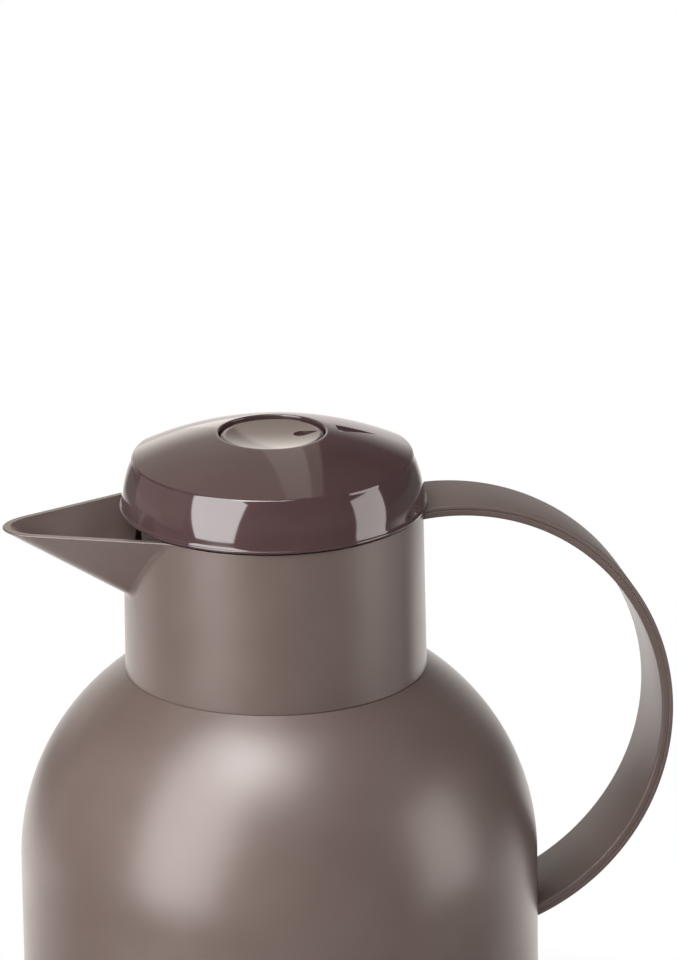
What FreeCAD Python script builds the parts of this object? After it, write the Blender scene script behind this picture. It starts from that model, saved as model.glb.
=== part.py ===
import FreeCAD, Part
import math
import os
import re

import Sketcher
from FreeCAD import Placement, Rotation, Vector

# A push-button vacuum jug. The origin is on the axis of the round body, on the plane that it stands on.
# The handle is on the +X side, the beak on the -X side, and +Z is up.

# Driving sizes, in millimetres and degrees
SIZES = {
    # Jacket, a plastic cylinder that closes over in a dome
    "body_radius": 66,
    "jacket_wall": 2.2,
    "jacket_lift": 2,
    "base_corner": 3.5,
    "dome_start": 110,
    "dome_radius": 60.6,
    "spigot_height": 11.5,
    "spigot_wall": 2.2,
    "snap_depth": 0.5,
    "snap_length": 2.4,
    "snap_level": 6,
    "ledge_height": 7.4,
    # Neck collar, which stands on the jacket and carries the beak and the thread
    "collar_top_radius": 37.9,
    "collar_draft": 0.4,
    "collar_wall": 2.3,
    "collar_height": 42.5,
    "collar_edge": 0.5,
    "brim_round": 0.25,
    "brim_trim": 3,
    "collar_fit": 0.1,
    "seat_margin": 0.3,
    "basin_height": 20.2,
    "basin_rise": 3.4,
    "web_thickness": 2,
    "web_land": 0.6,
    # Beak, an open trough along the slope of its keel
    "beak_length": 32,
    "beak_slope": 32,
    "beak_floor_radius": 10,
    "beak_side_angle": 35,
    "beak_wall": 1.6,
    "beak_root": 2.2,
    # Handle, a band on a circle, of two strips
    "handle_radius": 58.3,
    "handle_offset": 42.7,
    "handle_drop": 0.1,
    "handle_width": 24,
    "outer_strip": 1.2,
    "inner_strip": 1.7,
    "handle_edge": 0.7,
    "handle_groove": 0.35,
    "handle_fit": 0.1,
    "handle_bury": 5,
    "tenon_width": 14,
    "tenon_thickness": 1.2,
    "tenon_depth": 1.5,
    "tenon_root": 0.5,
    "tenon_hook": 1.6,
    "tenon_clearance": 0.15,
    # Glass flask, two walls with a vacuum between them
    "flask_gap": 4.8,
    "flask_pass": 1.2,
    "glass_wall": 1.8,
    "vacuum_gap": 4,
    "neck_gap": 2.4,
    "flask_corner": 28,
    "flask_dome_drop": 2,
    "flask_neck_round": 3,
    "mouth_radius": 19,
    "mouth_lip": 2.5,
    "mouth_round": 0.8,
    "tip_radius": 3,
    "tip_length": 5,
    "spacer_level": 70,
    "spacer_height": 8,
    "spacer_angle": 8,
    "spacer_fit": 0.1,
    # Gasket on the glass mouth
    "gasket_thickness": 1.6,
    "gasket_inset": 0.8,
    "gasket_wall": 1.6,
    "gasket_skirt": 4,
    "gasket_fit": 0.1,
    # Base plate, its cushion and its foot
    "foot_inset": 5.9,
    "foot_width": 8,
    "foot_height": 2.4,
    "foot_seat": 1.2,
    "foot_fit": 0.2,
    "plate_thickness": 3,
    "plate_rim": 2.2,
    "plate_fit": 0.3,
    "lug_reach": 2,
    "lug_gap": 0.2,
    "lug_thickness": 1.8,
    "lug_angle": 26,
    "notch_angle": 34,
    "notch_margin": 0.4,
    "cushion_radius": 22,
    "cushion_bore": 10,
    "cushion_height": 7.8,
    "cushion_fit": 0.3,
    "cup_wall": 2,
    "cup_height": 4,
    # Thread between collar and stopper
    "thread_lead": 16,
    "thread_depth": 1.6,
    "thread_clearance": 0.6,
    "thread_root": 2.6,
    "thread_crest": 1.4,
    "thread_play": 0.5,
    "thread_level": 5,
    "thread_bury": 0.3,
    "female_angle": 70,
    "male_angle": 80,
    # Lid cover
    "lid_gap": 0.6,
    "lid_overhang": 0.9,
    "lid_lip": 0.5,
    "lid_lip_height": 0.7,
    "lid_wall": 1.9,
    "skirt_round": 26,
    "crease_inset": 2.7,
    "crease_round": 0.8,
    "crown_height": 20.4,
    "crown_radius": 89,
    "button_hole": 13.5,
    "hole_round": 0.4,
    "guide_wall": 1.6,
    "guide_depth": 12,
    "cover_hook": 0.6,
    "hook_depth": 0.4,
    "shoulder_width": 0.8,
    "flange_fit": 0.1,
    "arrow_base": 16.8,
    "arrow_tip": 26.8,
    "arrow_half_width": 2.7,
    "arrow_depth": 0.5,
    # Push button
    "button_clearance": 0.35,
    "button_recess": 0.8,
    "button_dish": 0.7,
    "button_round": 0.8,
    "button_wall": 1.6,
    "button_top": 2.6,
    "button_skirt": 9,
    "button_boss": 5.5,
    "button_boss_depth": 9.5,
    "drop_offset": 7.4,
    "drop_radius": 1.9,
    "drop_length": 4.6,
    "drop_depth": 0.4,
    # Stopper
    "flange_thickness": 1.6,
    "cup_side": 2,
    "pour_gap": 4,
    "floor_thickness": 2,
    "plug_clearance": 0.8,
    "plug_wall": 3,
    "plug_depth": 11,
    "window_width": 13,
    "window_land": 1,
    "boss_radius": 6.5,
    "boss_height": 7,
    "seal_lift": 4,
    "seal_height": 3.6,
    "seal_depth": 1.6,
    "seal_play": 0.2,
    "seal_gap": 0.25,
    # Valve and spring
    "stem_radius": 3,
    "stem_clearance": 0.25,
    "stem_fit": 0.05,
    "stem_grip": 3.5,
    "ring_radius": 1,
    "ring_fit": 0.05,
    "plate_margin": 0.4,
    "valve_plate_thickness": 3,
    "valve_gap": 0.25,
    "valve_seal_thickness": 1.75,
    "valve_hub_gap": 1.5,
    "valve_hub_height": 3,
    "valve_seal_fit": 0.1,
    "spring_radius": 8.4,
    "spring_wire": 1.2,
    "spring_turns": 8,
}

# Places worked out from the driving sizes
PLACES = {
    "dome_centre": "body_radius - dome_radius",
    "collar_foot_radius": "collar_top_radius + collar_draft",
    "collar_bore": "collar_top_radius - collar_wall",
    "spigot_radius": "collar_bore - collar_fit",
    "seat_radius": "collar_foot_radius + seat_margin",
    "seat_height": "dome_start + sqrt(dome_radius^2 - (seat_radius - dome_centre)^2)",
    "jacket_dome": "dome_radius - jacket_wall",
    "seat_underside": "dome_start + sqrt(jacket_dome^2 - (seat_radius - dome_centre)^2)",
    "snap_height": "seat_height + snap_level",
    "flask_radius": "body_radius - jacket_wall - flask_gap",
    "ledge_radius": "flask_radius + flask_pass",
    "ledge_top": "jacket_lift + ledge_height",
    "collar_top": "seat_height + collar_height",
    "blank_top": "collar_top + brim_trim",
    "basin_lip": "seat_height + basin_height",
    "web_radius": "mouth_radius + gasket_inset",
    "basin_edge": "basin_lip + web_thickness + basin_rise",
    "neck_radius": "mouth_radius + glass_wall + neck_gap + glass_wall",
    "gasket_radius": "neck_radius + gasket_fit + gasket_wall",
    "mouth_top": "basin_lip - gasket_thickness",
    "plate_bottom": "foot_height - foot_seat",
    "plate_top": "plate_bottom + plate_thickness",
    "plate_radius": "ledge_radius - plate_fit",
    "foot_radius": "plate_radius - foot_inset",
    "foot_bore_radius": "foot_radius - foot_width",
    "lug_radius": "plate_radius + lug_reach",
    "lug_bottom": "ledge_top + lug_gap",
    "lug_top": "lug_bottom + lug_thickness",
    "flask_bottom": "plate_top + cushion_height",
    "flask_dome_start": "dome_start - flask_dome_drop",
    "flask_dome": "flask_radius - dome_centre",
    "inner_radius": "flask_radius - glass_wall - vacuum_gap",
    "handle_height": "collar_top - handle_drop - handle_radius",
    "strip_radius": "handle_radius - outer_strip",
    "strip_bore": "strip_radius - handle_fit - inner_strip",
    "strip_middle": "strip_radius - handle_fit - inner_strip / 2",
    "upper_tenon": "handle_height + strip_middle",
    "lower_tenon": "handle_height - sqrt(strip_middle^2 - (body_radius - handle_offset)^2)",
    "hook_face": "sqrt((body_radius - jacket_wall)^2 - tenon_width^2 / 4) - tenon_clearance",
    "beak_reach": "collar_top_radius + beak_length",
    "beak_rise": "beak_reach * tan(beak_slope)",
    "lid_base": "collar_top + lid_gap",
    "lid_radius": "collar_top_radius + lid_overhang",
    "skirt_radius": "lid_radius - lid_lip",
    "crease_radius": "skirt_radius - crease_inset",
    "flange_pocket": "skirt_radius - lid_wall",
    "flange_radius": "flange_pocket - flange_fit",
    "flange_bottom": "lid_base + cover_hook",
    "flange_top": "flange_bottom + flange_thickness",
    "crown_centre": "lid_base + crown_height - crown_radius",
    "crown_bore": "crown_radius - lid_wall",
    "hole_edge": "crown_centre + sqrt(crown_radius^2 - button_hole^2)",
    "guide_radius": "button_hole + guide_wall",
    "button_radius": "button_hole - button_clearance",
    "button_rim": "hole_edge - button_recess",
    "dish_reach": "button_radius - button_round",
    "dish_radius": "(dish_reach^2 + button_dish^2) / (2 * button_dish)",
    "button_ceiling": "button_rim - button_top",
    "cup_radius": "collar_bore - thread_depth - thread_clearance",
    "floor_bottom": "basin_edge + pour_gap",
    "floor_top": "floor_bottom + floor_thickness",
    "boss_top": "floor_top + boss_height",
    "plug_radius": "mouth_radius - plug_clearance",
    "plug_bore": "plug_radius - plug_wall",
    "plug_bottom": "mouth_top - plug_depth",
    "seal_bottom": "plug_bottom + seal_lift",
    "seal_top": "seal_bottom + seal_height",
    "groove_radius": "plug_radius - seal_depth",
    "stem_bore": "stem_radius + stem_clearance",
    "ring_pocket": "stem_bore + 2 * ring_radius + ring_fit",
    "ring_floor": "boss_top - 2 * ring_radius - 2 * ring_fit",
    "valve_seal_top": "plug_bottom - valve_gap",
    "valve_face": "valve_seal_top - valve_seal_thickness",
    "valve_bottom": "valve_face - valve_plate_thickness",
    "valve_hub": "plug_bore - valve_hub_gap",
    "valve_radius": "plug_radius - plate_margin",
    "stem_bottom": "valve_bottom + stem_fit + valve_plate_thickness / 3",
    "stem_top": "button_rim - button_top - button_boss_depth + stem_grip",
    "male_level": "collar_top - thread_level - (thread_root + thread_crest) / 2 - thread_play",
}

doc = FreeCAD.newDocument("vacuum_jug")
sheet = doc.addObject("Spreadsheet::Sheet", "Sizes")
for row, (alias, value) in enumerate(SIZES.items(), start=1):
    sheet.set(f"A{row}", alias)
    sheet.set(f"B{row}", str(value))
    sheet.setAlias(f"B{row}", alias)
doc.recompute()


def bound(text):
    """An expression in plain words, written so that it reads the sheet."""

    def read(match):
        word = match.group(0)
        if word in PLACES:
            return f"({bound(PLACES[word])})"
        return f"Sizes.{word}" if word in SIZES else word

    return re.sub("[a-z_]+", read, text)


def number(text):
    """The value of an expression in plain words."""
    return float(sheet.evalExpression(bound(text)))


def arc_between(start, end, radius, side):
    """The short arc from start to end with its centre to the left or the right of the way."""
    chord = end - start
    left = Vector(-chord.y, chord.x, 0) / chord.Length
    reach = math.sqrt(radius**2 - (chord.Length / 2) ** 2)
    centre = (start + end) / 2 + left * (reach if side == "left" else -reach)
    first, last = (start, end) if side == "left" else (end, start)
    angles = [math.atan2(spot.y - centre.y, spot.x - centre.x) for spot in (first, last)]
    return Part.ArcOfCircle(Part.Circle(centre, Vector(0, 0, 1), radius), *angles)


def pin(sketch, edge, end, across, up):
    """Hold one end of an edge at a place given in plain words."""
    for kind, axis, text in (("DistanceX", -2, across), ("DistanceY", -1, up)):
        if text == "0":
            sketch.addConstraint(Sketcher.Constraint("PointOnObject", edge, end, axis))
            continue
        item = sketch.addConstraint(Sketcher.Constraint(kind, -1, 1, edge, end, number(text)))
        sketch.setExpression(f"Constraints[{item}]", bound(text))


def draw(sketch, corners):
    """A closed outline. A corner is (across, up), and one that starts an arc is
    (across, up, radius, side), where side says where the centre of the arc lies."""
    spots = [Vector(number(corner[0]), number(corner[1]), 0) for corner in corners]
    ends = []
    for index, corner in enumerate(corners):
        start = spots[index]
        end = spots[(index + 1) % len(spots)]
        if len(corner) == 2:
            sketch.addGeometry(Part.LineSegment(start, end), False)
            ends.append((1, 2))
            continue
        radius, side = corner[2:]
        sketch.addGeometry(arc_between(start, end, number(radius), side), False)
        ends.append((1, 2) if side == "left" else (2, 1))
    for index, corner in enumerate(corners):
        following = (index + 1) % len(corners)
        sketch.addConstraint(
            Sketcher.Constraint("Coincident", index, ends[index][1], following, ends[following][0])
        )
        pin(sketch, index, ends[index][0], corner[0], corner[1])
        if len(corner) > 2:
            item = sketch.addConstraint(Sketcher.Constraint("Radius", index, number(corner[2])))
            sketch.setExpression(f"Constraints[{item}]", bound(corner[2]))
    doc.recompute()
    return sketch


def body_sketch(body, role, name, corners, turn=0):
    """An outline on one of a body's own planes, turned about its upright axis."""
    sketch = body.newObject("Sketcher::SketchObject", name)
    plane = [item for item in body.Origin.OriginFeatures if item.Role == role][0]
    sketch.AttachmentSupport = [(plane, "")]
    sketch.MapMode = "FlatFace"
    sketch.AttachmentOffset = Placement(Vector(), Rotation(Vector(0, 1, 0), turn))
    return draw(sketch, corners)


def free_sketch(name, corners, rotation, up="0"):
    """An outline that stands by itself, for a sweep or an extrusion."""
    sketch = doc.addObject("Sketcher::SketchObject", name)
    sketch.Placement = Placement(Vector(), rotation)
    sketch.setExpression("Placement.Base.z", bound(up))
    return draw(sketch, corners)


UPRIGHT = Rotation(Vector(1, 0, 0), 90)
CROSSWISE = Rotation(Vector(0, 0, 1), 90).multiply(UPRIGHT)


def turned(label, corners):
    """A round piece, turned from an outline of (radius, height) corners."""
    body = doc.addObject("PartDesign::Body", label)
    body.Label = label
    sketch = body_sketch(body, "XZ_Plane", f"{label}_outline", corners)
    feature = body.newObject("PartDesign::Revolution", f"{label}_turn")
    feature.Profile = sketch
    feature.ReferenceAxis = (sketch, ["V_Axis"])
    doc.recompute()
    return body


def part_turn(body, kind, name, corners, angle, turn=0):
    """Add or remove three equal sectors round a body's axis."""
    sketch = body_sketch(body, "XZ_Plane", f"{name}_outline", corners, turn)
    before = body.Shape.Volume
    feature = body.newObject(f"PartDesign::{kind}", name)
    feature.Profile = sketch
    feature.ReferenceAxis = (sketch, ["V_Axis"])
    feature.Midplane = True
    feature.setExpression("Angle", bound(angle))
    doc.recompute()
    pattern = body.newObject("PartDesign::PolarPattern", f"{name}_round")
    pattern.Originals = [feature]
    pattern.Axis = (sketch, ["V_Axis"])
    pattern.Angle = 360
    pattern.Occurrences = 3
    body.Tip = pattern
    doc.recompute()
    if abs(body.Shape.Volume - before) < 1:
        raise RuntimeError(f"{name} changes nothing")
    return body


def circle_names(shape, radius, height):
    """The names of the level circular edges of one radius at one height."""
    names = []
    for index, edge in enumerate(shape.Edges, start=1):
        curve = edge.Curve
        if not isinstance(curve, Part.Circle) or abs(abs(curve.Axis.z) - 1) > 1e-6:
            continue
        if abs(curve.Radius - number(radius)) < 1e-3 and abs(curve.Center.z - number(height)) < 1e-3:
            names.append(f"Edge{index}")
    return names


def rounded(body, name, radius, circles):
    """Round the circular edges of a turned body at the given (radius, height) places."""
    names = [item for circle in circles for item in circle_names(body.Shape, *circle)]
    if len(names) < len(circles):
        raise RuntimeError(f"{name} finds too few edges")
    base = body.Tip
    feature = body.newObject("PartDesign::Fillet", name)
    feature.Base = (base, names)
    feature.setExpression("Radius", bound(radius))
    body.Tip = feature
    doc.recompute()
    return body


def solid(kind, name, **sizes):
    """A plain solid with each of its sizes bound to an expression in plain words."""
    item = doc.addObject(f"Part::{kind}", name)
    for size, text in sizes.items():
        item.setExpression(size, bound(text))
    return item


def placed(item, across="0", along="0", up="0"):
    """Bind the place of a solid to expressions in plain words."""
    for axis, text in (("x", across), ("y", along), ("z", up)):
        item.setExpression(f"Placement.Base.{axis}", bound(text))
    return item


def block(name, left, right, width, bottom, top):
    """A box from left to right and from bottom to top, centred across the width."""
    item = solid("Box", name, Length=f"({right}) - ({left})", Width=width, Height=f"({top}) - ({bottom})")
    return placed(item, left, f"-({width}) / 2", bottom)


def cut(label, base, *tools):
    """A piece less one tool or several."""
    tool = tools[0] if len(tools) == 1 else fuse(f"{label}_tools", *tools)
    item = doc.addObject("Part::Cut", label)
    item.Label = label
    item.Base = base
    item.Tool = tool
    doc.recompute()
    return item


def fuse(label, *pieces):
    """Several solids moulded as one."""
    item = doc.addObject("Part::MultiFuse", label)
    item.Label = label
    item.Shapes = list(pieces)
    doc.recompute()
    return item


def group(label, pieces):
    """Separate solids that share one node."""
    item = doc.addObject("Part::Compound", label)
    item.Label = label
    item.Links = pieces
    doc.recompute()
    return item


def tenon_box(name, left, right, height, margin="0"):
    """A flat tenon of the handle, or its slot when it has a margin."""
    half = f"(tenon_thickness / 2 + {margin})"
    return block(
        name, left, right, f"tenon_width + 2 * {margin}", f"{height} - {half}", f"{height} + {half}"
    )


def make_jacket():
    """Blow-moulded jacket: cylinder, dome, spigot for the collar and bayonet ledge for the base."""
    body = turned("jacket_moulding", [
        ("body_radius - base_corner", "jacket_lift", "base_corner", "left"),
        ("body_radius", "jacket_lift + base_corner"),
        ("body_radius", "dome_start", "dome_radius", "left"),
        ("seat_radius", "seat_height"),
        ("spigot_radius", "seat_height"),
        ("spigot_radius", "snap_height - snap_length / 2"),
        ("spigot_radius + snap_depth", "snap_height"),
        ("spigot_radius", "snap_height + snap_length / 2"),
        ("spigot_radius", "seat_height + spigot_height"),
        ("spigot_radius - spigot_wall", "seat_height + spigot_height"),
        ("spigot_radius - spigot_wall", "seat_underside"),
        ("seat_radius", "seat_underside", "jacket_dome", "right"),
        ("body_radius - jacket_wall", "dome_start"),
        ("body_radius - jacket_wall", "ledge_top"),
        ("ledge_radius", "ledge_top"),
        ("ledge_radius", "jacket_lift"),
    ])
    part_turn(body, "Groove", "bayonet_notch", [
        ("ledge_radius - notch_margin", "jacket_lift - notch_margin"),
        ("lug_radius + notch_margin", "jacket_lift - notch_margin"),
        ("lug_radius + notch_margin", "ledge_top + notch_margin"),
        ("ledge_radius - notch_margin", "ledge_top + notch_margin"),
    ], "notch_angle", turn=60)
    slot = tenon_box(
        "jacket_slot", "body_radius - 2 * jacket_wall", "body_radius + jacket_wall", "lower_tenon",
        "tenon_clearance",
    )
    return cut("body_jacket", body, slot)


def beak_trough(name, wall):
    """The trough of the beak, drawn where it would cross the axis and run out along its keel."""
    floor = f"(beak_floor_radius - {wall})"
    flank = f"{floor} * cos(beak_side_angle)"
    bend = f"(collar_top - beak_rise + beak_floor_radius - {floor} * sin(beak_side_angle))"
    brim = "collar_top"
    reach = f"({flank} + ({brim} - {bend}) * tan(beak_side_angle))"
    keel = f"collar_top - beak_rise + {wall}"
    sketch = free_sketch(f"{name}_outline", [
        ("0", keel, floor, "left"),
        (flank, bend),
        (reach, brim),
        (f"-{reach}", brim),
        (f"-{flank}", bend, floor, "left"),
    ], CROSSWISE)
    trough = doc.addObject("Part::Extrusion", name)
    trough.Base = sketch
    trough.DirMode = "Custom"
    trough.Solid = True
    trough.setExpression("Dir.x", bound("-cos(beak_slope)"))
    trough.setExpression("Dir.z", bound("sin(beak_slope)"))
    trough.setExpression("LengthFwd", bound("(beak_reach + 2 * collar_wall) / cos(beak_slope)"))
    doc.recompute()
    return trough


def thread_ribs(name, root, crest, level, angle):
    """Two helical ribs, half a turn apart, each centred on the Y axis."""
    inward = "(thread_root - thread_crest) / 2"
    ribs = []
    for side in (0, 180):
        start = 90 + side - number(angle) / 2
        swing = Rotation(Vector(0, 0, 1), start)
        up = f"{level} - thread_lead * {angle} / 720"
        helix = solid("Helix", f"{name}_helix_{side}", Pitch="thread_lead", Radius=root,
                      Height=f"thread_lead * {angle} / 360")
        helix.Placement = Placement(Vector(), swing)
        helix.setExpression("Placement.Base.z", bound(up))
        profile = free_sketch(f"{name}_profile_{side}", [
            (root, "-thread_root / 2"),
            (crest, f"-thread_root / 2 + {inward}"),
            (crest, f"thread_root / 2 - {inward}"),
            (root, "thread_root / 2"),
        ], swing.multiply(UPRIGHT), up)
        rib = doc.addObject("Part::Sweep", f"{name}_{side}")
        rib.Sections = [profile]
        rib.Spine = (helix, [])
        rib.Solid = True
        rib.Frenet = True
        ribs.append(rib)
    doc.recompute()
    return ribs


def wall_radius(height):
    """Radius of the collar's tapered wall at one height."""
    share = (height - number("seat_height")) / number("collar_height")
    return number("collar_foot_radius") - share * number("collar_draft")


def root_edges(shape):
    """The numbers of the edges where the beak leaves the wall of the collar."""
    numbers = []
    for index, edge in enumerate(shape.Edges, start=1):
        spots = edge.discretize(7)
        off_wall = max(abs(math.hypot(spot.x, spot.y) - wall_radius(spot.z)) for spot in spots)
        if off_wall < 0.02 and edge.BoundBox.ZLength > number("collar_edge") and spots[3].x < 0:
            numbers.append(index)
    return numbers


def brim_edges(shape):
    """The numbers of the outer edges of the brim, round the collar and the beak."""
    numbers = []
    for index, edge in enumerate(shape.Edges, start=1):
        middle = edge.discretize(5)[2]
        outside = math.hypot(middle.x, middle.y) > number("collar_bore + collar_wall / 2")
        if outside and edge.BoundBox.ZMin > number("collar_top") - 1e-3:
            numbers.append(index)
    return numbers


def smoothed(label, base, numbers, radius):
    """A moulding with some of its edges rounded."""
    if not numbers:
        raise RuntimeError(f"{label} finds no edges")
    item = doc.addObject("Part::Fillet", label)
    item.Base = base
    item.Edges = [(index, number(radius), number(radius)) for index in numbers]
    doc.recompute()
    return item


def make_collar():
    """Neck ring with the pouring basin inside it, the thread ribs and the open beak. The ring and the
    beak are drawn a little too tall and trimmed to the brim once the root of the beak is rounded."""
    tube = turned("collar_tube", [
        ("collar_foot_radius", "seat_height"),
        ("collar_top_radius - collar_draft * brim_trim / collar_height", "blank_top"),
        ("collar_bore", "blank_top"),
        ("collar_bore", "basin_edge"),
        ("web_radius", "basin_lip + web_thickness"),
        ("web_radius", "basin_lip"),
        ("gasket_radius + web_land", "basin_lip"),
        ("collar_bore", "basin_edge - web_thickness"),
        ("collar_bore", "snap_height + snap_length / 2"),
        ("collar_bore + snap_depth", "snap_height"),
        ("collar_bore", "snap_height - snap_length / 2"),
        ("collar_bore", "seat_height"),
    ])
    rounded(tube, "collar_foot_edge", "collar_edge", [("collar_foot_radius", "seat_height")])
    bore = solid("Cylinder", "collar_bore_core", Radius="collar_bore", Height="2 * blank_top")
    slab = block(
        "beak_slab", "-beak_reach - collar_wall", "-collar_top_radius / 2", "4 * collar_top_radius",
        "seat_height", "blank_top",
    )
    outside = beak_trough("beak_outside", "0")
    beak = doc.addObject("Part::MultiCommon", "beak_block")
    beak.Shapes = [outside, slab]
    channel = cut("beak_channel", beak_trough("beak_inside", "beak_wall"), bore)
    blank = fuse("collar_blank", tube, cut("beak_lip", beak, bore))
    rooted = smoothed("collar_rooted", blank, root_edges(blank.Shape), "beak_root")
    spare = block(
        "brim_spare", "-2 * beak_reach", "2 * beak_reach", "4 * collar_top_radius", "collar_top",
        "blank_top + 2 * beak_root",
    )
    trimmed = cut("collar_trimmed", rooted, spare)
    moulding = smoothed("collar_moulding", trimmed, brim_edges(trimmed.Shape), "brim_round")
    ribs = thread_ribs(
        "collar_thread", "collar_bore + thread_bury", "collar_bore - thread_depth",
        "collar_top - thread_level", "female_angle",
    )
    slot = tenon_box(
        "collar_slot", "collar_top_radius - tenon_depth - tenon_clearance",
        "collar_foot_radius + collar_wall", "upper_tenon", "tenon_clearance",
    )
    return cut("neck_collar", fuse("collar_whole", moulding, *ribs), channel, slot)


def ring_edges(shape, radius):
    """The names of the edges that follow the handle's ring at one radius."""
    centre = Vector(number("handle_offset"), 0, number("handle_height"))
    names = []
    for index, edge in enumerate(shape.Edges, start=1):
        spots = [spot - centre for spot in edge.discretize(5)]
        off_ring = max(abs(math.hypot(spot.x, spot.z) - number(radius)) for spot in spots)
        if off_ring < 1e-3 and edge.BoundBox.YLength < edge.Length / 2:
            names.append(f"Edge{index}")
    return names


def handle_strip(name, outer, inner, round_radius, seam_radius):
    """One moulded strip of the handle, with a rounded face and a chamfered seam."""
    low = "body_radius - handle_bury"
    high = "collar_top_radius - handle_bury / 2"

    def on_ring(radius, across, sign):
        return f"handle_height {sign} sqrt(({radius})^2 - ({across} - handle_offset)^2)"

    body = doc.addObject("PartDesign::Body", f"{name}_band")
    sketch = body_sketch(body, "XZ_Plane", f"{name}_outline", [
        (low, on_ring(outer, low, "-"), outer, "left"),
        (high, on_ring(outer, high, "+")),
        (high, on_ring(inner, high, "+"), inner, "right"),
        (low, on_ring(inner, low, "-")),
    ])
    pad = body.newObject("PartDesign::Pad", f"{name}_pad")
    pad.Profile = sketch
    pad.SideType = "Symmetric"
    pad.setExpression("Length", bound("handle_width"))
    doc.recompute()
    for kind, radius, size, value in (
        ("Fillet", round_radius, "Radius", "handle_edge"),
        ("Chamfer", seam_radius, "Size", "handle_groove"),
    ):
        edges = ring_edges(body.Shape, radius)
        base = body.Tip
        feature = body.newObject(f"PartDesign::{kind}", f"{name}_{kind.lower()}")
        feature.Base = (base, edges)
        feature.setExpression(size, bound(value))
        body.Tip = feature
        doc.recompute()
    neck = placed(solid(
        "Cone", f"{name}_neck", Height="collar_height", Radius1="collar_foot_radius + handle_fit",
        Radius2="collar_top_radius + handle_fit",
    ), up="seat_height")
    wall = solid("Cylinder", f"{name}_wall", Radius="body_radius + handle_fit", Height="dome_start")
    return body, (neck, wall)


def make_handle_outer():
    """Outer strip of the handle, which covers the inner one."""
    band, ends = handle_strip(
        "outer_band", "handle_radius", "strip_radius", "handle_radius", "strip_radius",
    )
    return cut("handle_outer_strip", band, *ends)


def make_handle_inner():
    """Inner strip of the handle, with a tenon into the collar and a hooked one into the jacket."""
    band, ends = handle_strip(
        "inner_band", "strip_radius - handle_fit", "strip_bore", "strip_bore", "strip_radius - handle_fit",
    )
    trimmed = cut("inner_band_trimmed", band, *ends)
    upper = tenon_box(
        "upper_tenon_block", "collar_top_radius - tenon_depth", "collar_foot_radius + tenon_root",
        "upper_tenon",
    )
    hook_end = "hook_face - tenon_hook"
    lower = tenon_box("lower_tenon_block", hook_end, "body_radius + tenon_root", "lower_tenon")
    hook = block(
        "tenon_hook_block", hook_end, "hook_face", "tenon_width",
        "lower_tenon - tenon_thickness / 2 - tenon_hook", "lower_tenon + tenon_thickness / 2",
    )
    return fuse("handle_inner_strip", trimmed, upper, lower, hook)


def dome_height(radius, shell):
    """Height of a shell of the flask's dome at one radius."""
    return f"flask_dome_start + sqrt(({shell})^2 - ({radius} - dome_centre)^2)"


def make_outer_flask():
    """Outer glass, blown with a sealed-off tip under it."""
    bore = "neck_radius - glass_wall"
    shell = "flask_dome - glass_wall"
    body = turned("outer_flask", [
        ("0", "flask_bottom - tip_length"),
        ("tip_radius / 2", "flask_bottom - tip_length"),
        ("tip_radius", "flask_bottom"),
        ("flask_radius - flask_corner", "flask_bottom", "flask_corner", "left"),
        ("flask_radius", "flask_bottom + flask_corner"),
        ("flask_radius", "flask_dome_start", "flask_dome", "left"),
        ("neck_radius", dome_height("neck_radius", "flask_dome")),
        ("neck_radius", "mouth_top - mouth_lip"),
        (bore, "mouth_top - mouth_lip"),
        (bore, dome_height(f"({bore})", shell), shell, "right"),
        ("flask_radius - glass_wall", "flask_dome_start"),
        ("flask_radius - glass_wall", "flask_bottom + flask_corner", "flask_corner - glass_wall", "right"),
        ("flask_radius - flask_corner", "flask_bottom + glass_wall"),
        ("0", "flask_bottom + glass_wall"),
    ])
    return rounded(body, "outer_neck_round", "flask_neck_round", [
        ("neck_radius", dome_height("neck_radius", "flask_dome")),
        (bore, dome_height(f"({bore})", shell)),
    ])


def make_inner_flask():
    """Inner glass, whose lip is fused to the neck of the outer one."""
    floor = "flask_bottom + glass_wall + vacuum_gap"
    neck = "mouth_radius + glass_wall"
    bore = "inner_radius - glass_wall"
    shell = "inner_radius - dome_centre"
    inside = f"{shell} - glass_wall"
    corner = "flask_corner - glass_wall - vacuum_gap"
    body = turned("inner_flask", [
        ("0", floor),
        ("flask_radius - flask_corner", floor, corner, "left"),
        ("inner_radius", "flask_bottom + flask_corner"),
        ("inner_radius", "flask_dome_start", shell, "left"),
        (neck, dome_height(f"({neck})", shell)),
        (neck, "mouth_top - mouth_lip"),
        ("neck_radius", "mouth_top - mouth_lip"),
        ("neck_radius", "mouth_top - mouth_round", "mouth_round", "left"),
        ("neck_radius - mouth_round", "mouth_top"),
        ("mouth_radius + mouth_round", "mouth_top", "mouth_round", "left"),
        ("mouth_radius", "mouth_top - mouth_round"),
        ("mouth_radius", dome_height("mouth_radius", inside), inside, "right"),
        (bore, "flask_dome_start"),
        (bore, "flask_bottom + flask_corner", f"{corner} - glass_wall", "right"),
        ("flask_radius - flask_corner", f"{floor} + glass_wall"),
        ("0", f"{floor} + glass_wall"),
    ])
    return rounded(body, "inner_neck_round", "flask_neck_round", [
        (neck, dome_height(f"({neck})", shell)),
        ("mouth_radius", dome_height("mouth_radius", inside)),
    ])


def make_spacers():
    """Three pads between the two glasses."""
    pads = []
    for index in range(3):
        name = f"spacer_{index}"
        outer = solid("Cylinder", f"{name}_outer", Radius="flask_radius - glass_wall - spacer_fit",
                      Height="spacer_height", Angle="spacer_angle")
        inner = solid("Cylinder", f"{name}_inner", Radius="inner_radius + spacer_fit", Height="spacer_height")
        for item in (outer, inner):
            item.Placement = Placement(Vector(), Rotation(Vector(0, 0, 1), 120 * index))
            item.setExpression("Placement.Base.z", bound("spacer_level"))
        pads.append(cut(name, outer, inner))
    return group("flask_spacers", pads)


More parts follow.
